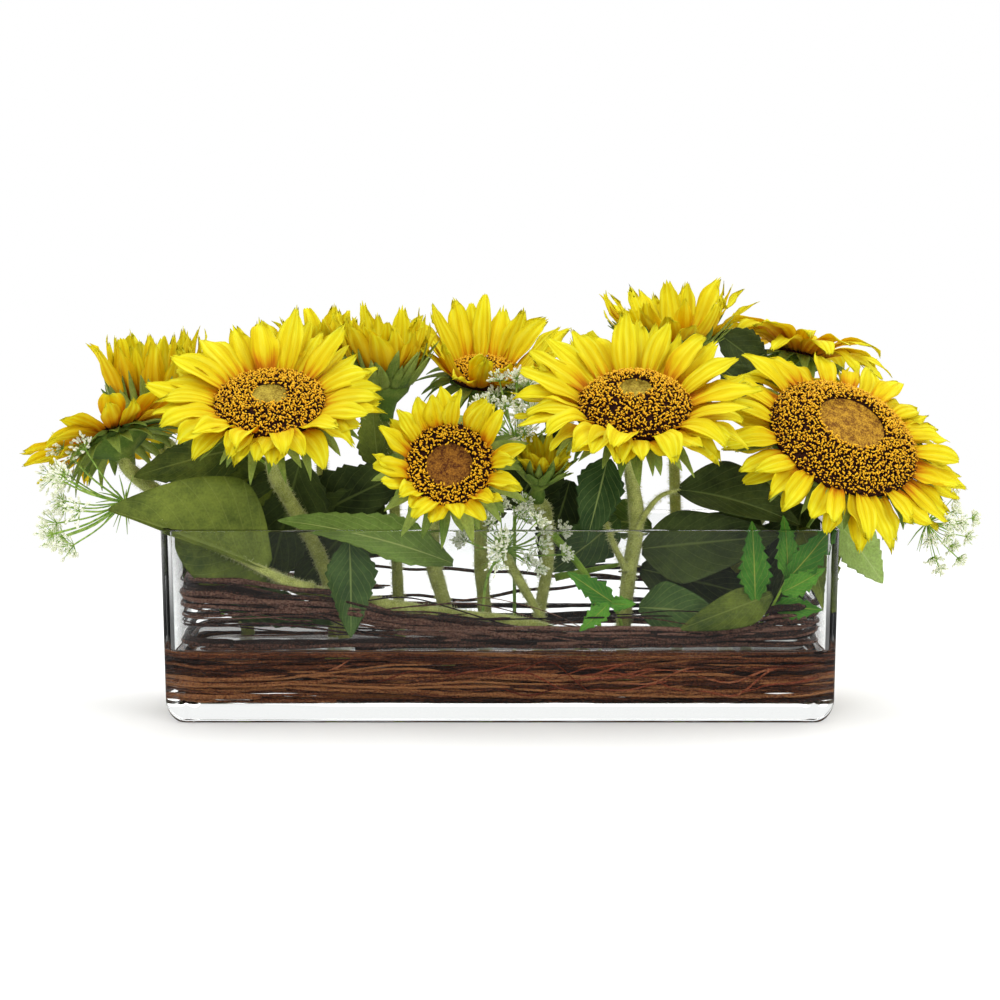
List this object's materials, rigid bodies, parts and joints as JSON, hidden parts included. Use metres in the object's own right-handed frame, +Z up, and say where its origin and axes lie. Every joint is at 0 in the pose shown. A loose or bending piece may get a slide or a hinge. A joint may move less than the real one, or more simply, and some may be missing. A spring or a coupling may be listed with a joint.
{
  "type": "sunflowers in a glass trough",
  "caption": "Low arrangement of artificial sunflowers, leaves and lace sprays standing in a long clear glass trough with vine twigs coiled in set water.",
  "frame": {"origin": "middle of the underside of the trough's base", "axes": "+X along the trough to the right, -Y towards the front, +Z up"},
  "size_m": [0.51, 0.2327, 0.2282],
  "materials": {
    "clear_glass": "clear, polished, thick",
    "set_water": "clear set resin, smooth surface",
    "wet_vine": "reddish brown bark under water",
    "dry_vine": "dark brown bark, slightly glossy",
    "petal": "yellow printed cloth, orange at the base",
    "florets": "gold tipped florets on dark brown",
    "stem": "pale green flocked",
    "leaf": "dark to bright green printed cloth",
    "lace": "white florets on pale green rays"
  },
  "bodies": {
    "root": {"disc_back_left_inner": "florets", "disc_back_left_outer": "florets", "disc_back_middle": "florets", "disc_back_right": "florets", "disc_far_left_back": "florets", "disc_far_left_low": "florets", "disc_far_right_back": "florets", "disc_front_middle": "florets", "disc_left_front": "florets", "disc_right_front": "florets", "disc_right_middle": "florets", "lace_back_middle": "lace", "lace_front_middle": "lace", "lace_left": "lace", "lace_right": "lace", "leaf_big_dark": "leaf", "leaf_bright_middle": "leaf", "leaf_bright_right": "leaf", "leaf_front_serrated": "leaf", "leaf_hanging_left": "leaf", "leaf_hanging_middle": "leaf", "leaf_left_shade": "leaf", "leaf_outside_right": "leaf", "leaf_over_left_rim": "leaf", "leaf_round_dark": "leaf", "leaf_under_left_flower": "leaf", "leaf_under_right_flower": "leaf", "petals_back_left_inner": "petal", "petals_back_left_outer": "petal", "petals_back_middle": "petal", "petals_back_right": "petal", "petals_bud": "petal", "petals_far_left_back": "petal", "petals_far_left_low": "petal", "petals_far_right_back": "petal", "petals_front_middle": "petal", "petals_left_front": "petal", "petals_right_front": "petal", "petals_right_middle": "petal", "stem_back_left_inner": "stem", "stem_back_left_outer": "stem", "stem_back_middle": "stem", "stem_back_right": "stem", "stem_bud": "stem", "stem_far_left_back": "stem", "stem_far_left_low": "stem", "stem_far_right_back": "stem", "stem_front_middle": "stem", "stem_left_front": "stem", "stem_right_front": "stem", "stem_right_middle": "stem", "trough": "clear_glass", "vine_dry_1": "dry_vine", "vine_loop_left": "dry_vine", "vine_loop_right": "dry_vine", "vine_wet_1": "wet_vine", "vine_wet_2": "wet_vine", "vine_wet_3": "wet_vine", "water": "set_water"}
  },
  "joints": []
}
